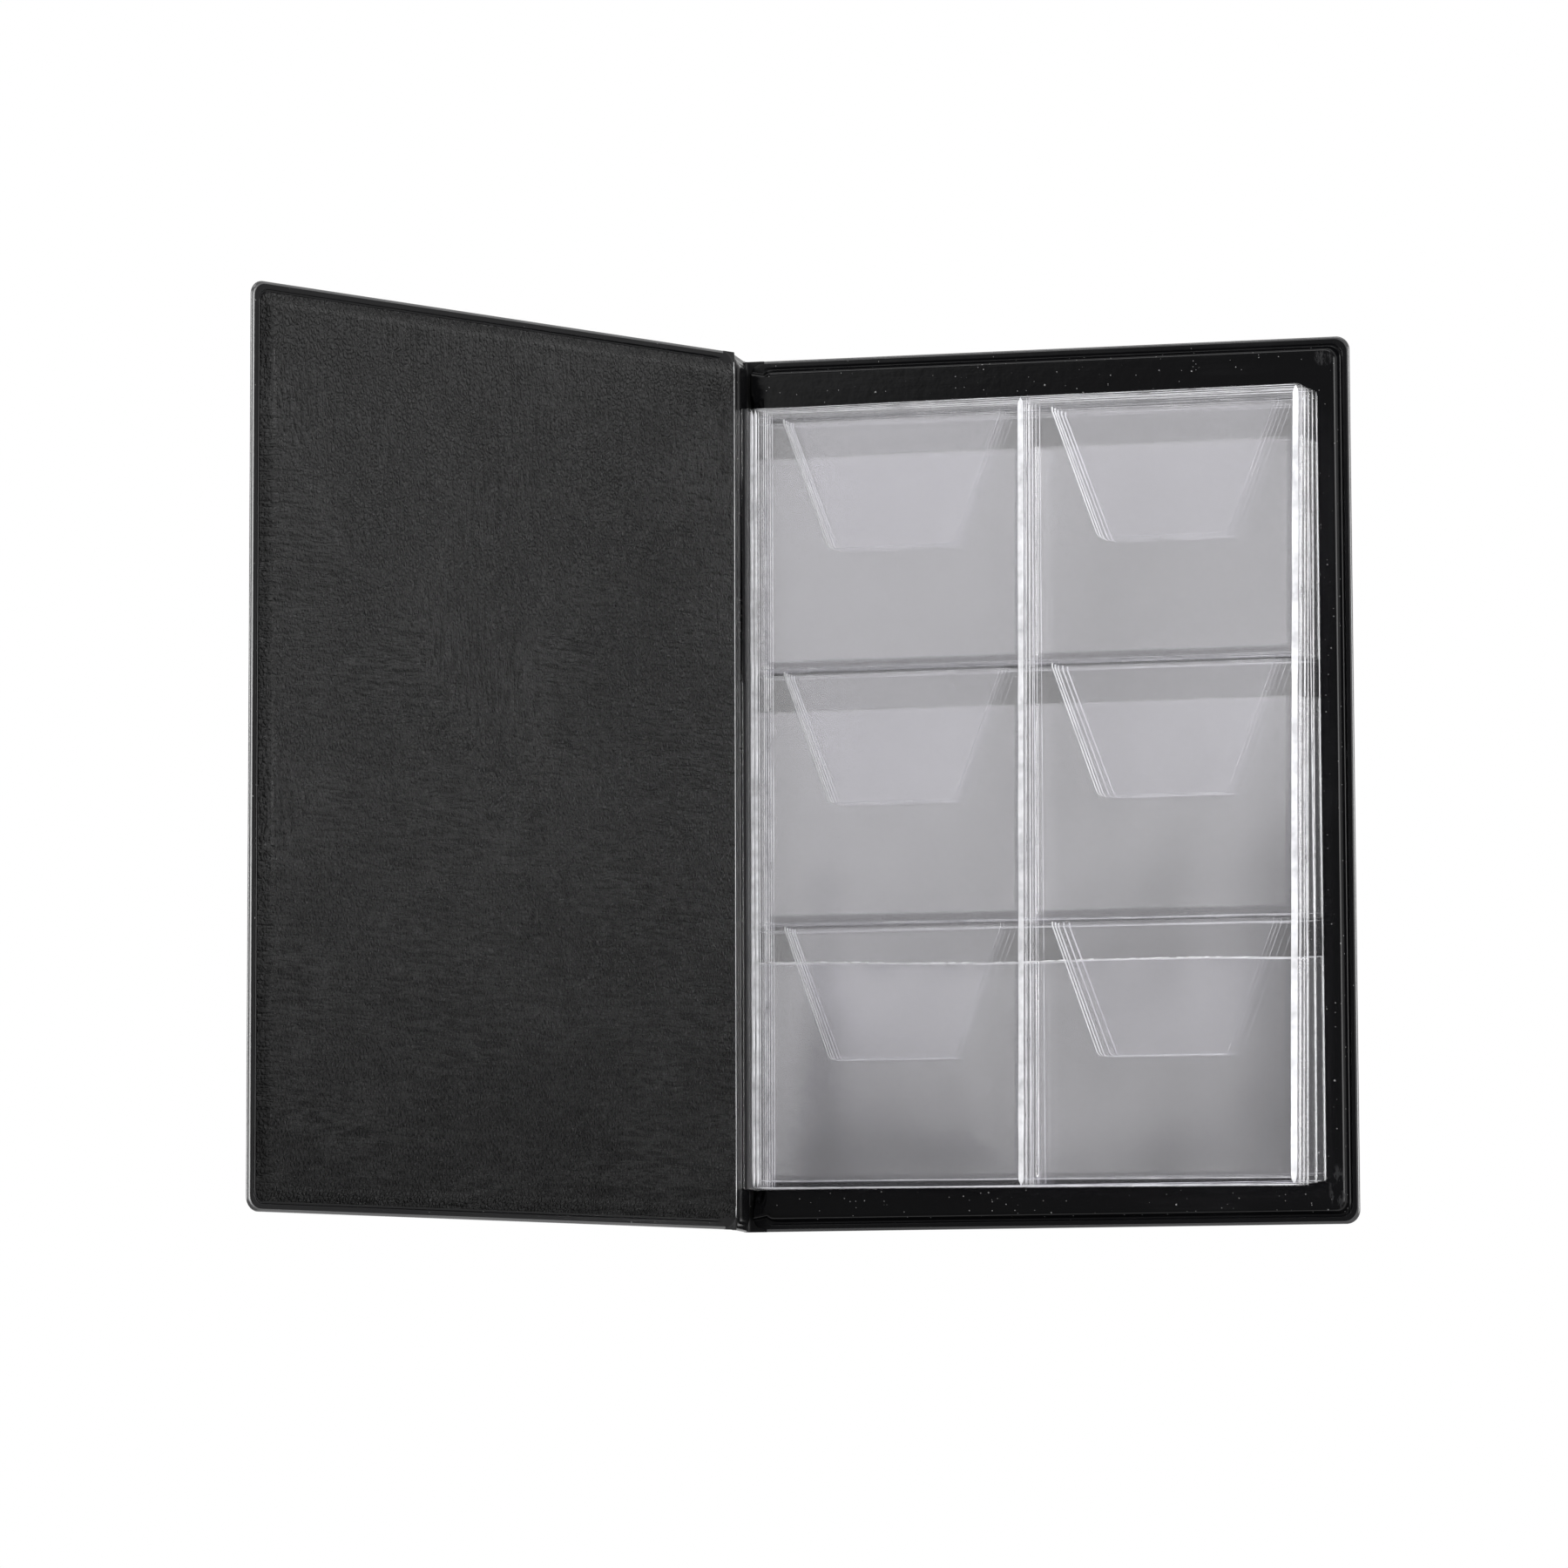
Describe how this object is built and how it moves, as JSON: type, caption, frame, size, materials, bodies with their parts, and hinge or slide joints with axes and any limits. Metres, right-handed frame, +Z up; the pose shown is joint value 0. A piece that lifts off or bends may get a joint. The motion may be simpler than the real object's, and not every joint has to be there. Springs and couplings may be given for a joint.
{
  "type": "coin album",
  "caption": "Small hinged album with padded black vinyl covers, a spine and clear film leaves, each with two columns and three rows of flapped coin pockets.",
  "frame": {"origin": "centre of the back cover's outer face", "axes": "+X away from the spine across the back cover, +Y towards the head of the album, +Z up from the back cover through the leaves"},
  "size_m": [0.1966, 0.18, 0.1165],
  "materials": {
    "grained_vinyl": "leather-grained black vinyl, satin",
    "lining_grained_vinyl": "wrinkle-grained black vinyl lining, satin",
    "smooth_vinyl": "smooth glossy black vinyl",
    "binding_vinyl": "smooth black vinyl strip",
    "board": "grey board, sealed inside",
    "clear_film": "clear flexible film"
  },
  "bodies": {
    "back_cover": {"back_cover_skin": "grained_vinyl", "back_cover_board": "board", "back_cover_lining": "smooth_vinyl", "leaf_binding_strip": "binding_vinyl", "leaf_5_root": "clear_film"},
    "spine": {"spine_skin": "grained_vinyl", "spine_board": "board", "spine_lining": "smooth_vinyl"},
    "front_cover": {"front_cover_skin": "grained_vinyl", "front_cover_board": "board", "front_cover_lining": "lining_grained_vinyl"},
    "leaf_1_margin": {"leaf_1_root": "clear_film"},
    "leaf_1": {"leaf_1_film": "clear_film", "leaf_1_strip_top": "clear_film", "leaf_1_strip_middle": "clear_film", "leaf_1_strip_bottom": "clear_film"},
    "leaf_2_margin": {"leaf_2_root": "clear_film"},
    "leaf_2": {"leaf_2_film": "clear_film", "leaf_2_strip_top": "clear_film", "leaf_2_strip_middle": "clear_film", "leaf_2_strip_bottom": "clear_film", "leaf_2_flaps": "clear_film"},
    "leaf_3_margin": {"leaf_3_root": "clear_film"},
    "leaf_3": {"leaf_3_film": "clear_film", "leaf_3_strip_top": "clear_film", "leaf_3_strip_middle": "clear_film", "leaf_3_strip_bottom": "clear_film", "leaf_3_flaps": "clear_film"},
    "leaf_4_margin": {"leaf_4_root": "clear_film"},
    "leaf_4": {"leaf_4_film": "clear_film", "leaf_4_strip_top": "clear_film", "leaf_4_strip_middle": "clear_film", "leaf_4_strip_bottom": "clear_film", "leaf_4_flaps": "clear_film"},
    "leaf_5": {"leaf_5_film": "clear_film", "leaf_5_strip_top": "clear_film", "leaf_5_strip_middle": "clear_film", "leaf_5_strip_bottom": "clear_film", "leaf_5_flaps": "clear_film"},
    "flap_top_left": {"leaf_1_flap_top_left": "clear_film"},
    "flap_top_right": {"leaf_1_flap_top_right": "clear_film"},
    "flap_middle_left": {"leaf_1_flap_middle_left": "clear_film"},
    "flap_middle_right": {"leaf_1_flap_middle_right": "clear_film"},
    "flap_bottom_left": {"leaf_1_flap_bottom_left": "clear_film"},
    "flap_bottom_right": {"leaf_1_flap_bottom_right": "clear_film"}
  },
  "joints": [
    {"name": "spine_hinge", "type": "hinge", "parent": "back_cover", "child": "spine", "pos_m": [-0.063, 0, 0.00045], "axis": [0, -1, 0], "range_deg": [0, 20]},
    {"name": "front_cover_hinge", "type": "hinge", "parent": "spine", "child": "front_cover", "pos_m": [-0.063, 0, 0.01255], "axis": [0, -1, 0], "range_deg": [-124.3, 40]},
    {"name": "leaf_1_press", "type": "hinge", "parent": "back_cover", "child": "leaf_1_margin", "pos_m": [-0.06167, 0, 0.00875], "axis": [0, -1, 0], "range_deg": [-6.01, 1.94]},
    {"name": "leaf_1_turn", "type": "hinge", "parent": "leaf_1_margin", "child": "leaf_1", "pos_m": [-0.06041, 0, 0.00888], "axis": [0, -1, 0], "range_deg": [0, 98]},
    {"name": "leaf_2_press", "type": "hinge", "parent": "back_cover", "child": "leaf_2_margin", "pos_m": [-0.06157, 0, 0.00725], "axis": [0, -1, 0], "range_deg": [-5.31, 1.72]},
    {"name": "leaf_2_turn", "type": "hinge", "parent": "leaf_2_margin", "child": "leaf_2", "pos_m": [-0.06031, 0, 0.00737], "axis": [0, -1, 0], "range_deg": [-0.01, 74.71]},
    {"name": "leaf_3_press", "type": "hinge", "parent": "back_cover", "child": "leaf_3_margin", "pos_m": [-0.06147, 0, 0.00575], "axis": [0, -1, 0], "range_deg": [-4.61, 1.49]},
    {"name": "leaf_3_turn", "type": "hinge", "parent": "leaf_3_margin", "child": "leaf_3", "pos_m": [-0.0602, 0, 0.00585], "axis": [0, -1, 0], "range_deg": [-0.01, 52.41]},
    {"name": "leaf_4_press", "type": "hinge", "parent": "back_cover", "child": "leaf_4_margin", "pos_m": [-0.06137, 0, 0.00425], "axis": [0, -1, 0], "range_deg": [-2.61, 0.85]},
    {"name": "leaf_4_turn", "type": "hinge", "parent": "leaf_4_margin", "child": "leaf_4", "pos_m": [-0.0601, 0, 0.00431], "axis": [0, -1, 0], "range_deg": [-0.01, 31.41]},
    {"name": "leaf_5_turn", "type": "hinge", "parent": "back_cover", "child": "leaf_5", "pos_m": [-0.06, 0, 0.00275], "axis": [0, -1, 0], "range_deg": [-0.01, 12.01]},
    {"name": "flap_top_left_fold", "type": "hinge", "parent": "leaf_1", "child": "flap_top_left", "pos_m": [-0.03046, 0.07545, 0.01224], "axis": [-0.9945, 0, -0.1045], "range_deg": [0, 150], "deforming": ["leaf_1_flap_top_left"]},
    {"name": "flap_top_right_fold", "type": "hinge", "parent": "leaf_1", "child": "flap_top_right", "pos_m": [0.02644, 0.07545, 0.01822], "axis": [-0.9945, 0, -0.1045], "range_deg": [0, 150], "deforming": ["leaf_1_flap_top_right"]},
    {"name": "flap_middle_left_fold", "type": "hinge", "parent": "leaf_1", "child": "flap_middle_left", "pos_m": [-0.03046, 0.02315, 0.01224], "axis": [-0.9945, 0, -0.1045], "range_deg": [0, 150], "deforming": ["leaf_1_flap_middle_left"]},
    {"name": "flap_middle_right_fold", "type": "hinge", "parent": "leaf_1", "child": "flap_middle_right", "pos_m": [0.02644, 0.02315, 0.01822], "axis": [-0.9945, 0, -0.1045], "range_deg": [0, 150], "deforming": ["leaf_1_flap_middle_right"]},
    {"name": "flap_bottom_left_fold", "type": "hinge", "parent": "leaf_1", "child": "flap_bottom_left", "pos_m": [-0.03046, -0.02915, 0.01224], "axis": [-0.9945, 0, -0.1045], "range_deg": [0, 150], "deforming": ["leaf_1_flap_bottom_left"]},
    {"name": "flap_bottom_right_fold", "type": "hinge", "parent": "leaf_1", "child": "flap_bottom_right", "pos_m": [0.02644, -0.02915, 0.01822], "axis": [-0.9945, 0, -0.1045], "range_deg": [0, 150], "deforming": ["leaf_1_flap_bottom_right"]}
  ],
  "couplings": [
    {"joint": "leaf_1_press", "follows": "front_cover_hinge", "ratio": 0.04827},
    {"joint": "leaf_2_press", "follows": "front_cover_hinge", "ratio": 0.042639},
    {"joint": "leaf_2_turn", "follows": "leaf_1_turn", "ratio": 0.76224},
    {"joint": "leaf_3_press", "follows": "front_cover_hinge", "ratio": 0.037007},
    {"joint": "leaf_3_turn", "follows": "leaf_1_turn", "ratio": 0.53469},
    {"joint": "leaf_4_press", "follows": "front_cover_hinge", "ratio": 0.020917},
    {"joint": "leaf_4_turn", "follows": "leaf_1_turn", "ratio": 0.32041},
    {"joint": "leaf_5_turn", "follows": "leaf_1_turn", "ratio": 0.12245}
  ]
}
